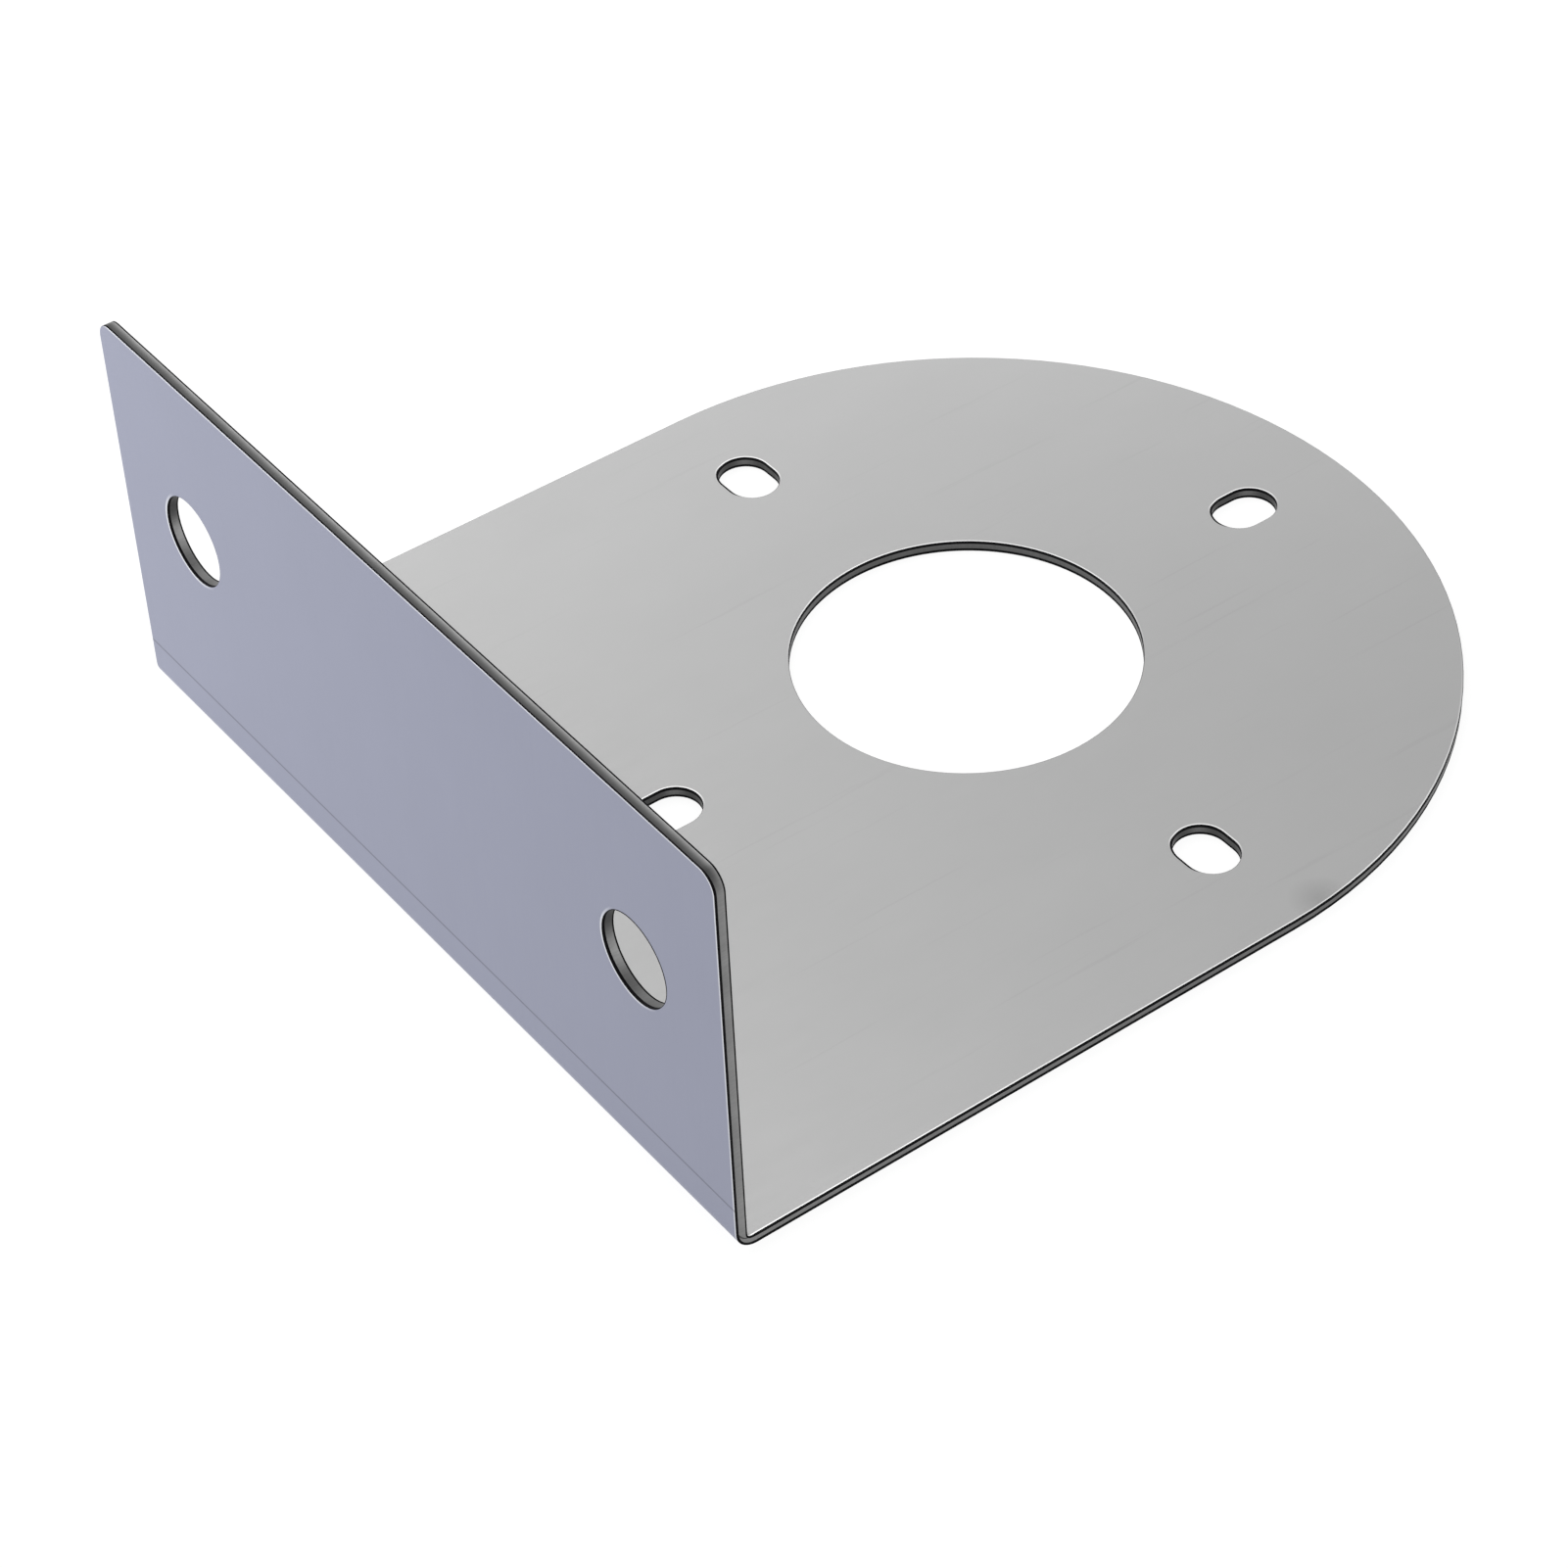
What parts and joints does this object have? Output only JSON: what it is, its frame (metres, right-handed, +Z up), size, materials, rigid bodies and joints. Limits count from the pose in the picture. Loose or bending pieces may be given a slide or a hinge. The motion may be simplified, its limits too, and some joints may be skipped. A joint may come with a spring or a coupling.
{
  "type": "l bracket",
  "caption": "Folded sheet-metal L bracket: a level plate with a full round end, a big round hole ringed by radial slots, and an upright flange with fixing holes.",
  "frame": {"origin": "axis of the big hole, on the plate's underside", "axes": "+Z up out of the plate on the flange's side, +Y from the flange towards the round end, +X along the fold"},
  "size_m": [0.1, 0.1155, 0.0455],
  "materials": {
    "sheet_steel": "satin mill finish on both skins, the outer one cooler, with darker cut edges"
  },
  "bodies": {
    "root": {"bracket": "sheet_steel"}
  },
  "joints": []
}
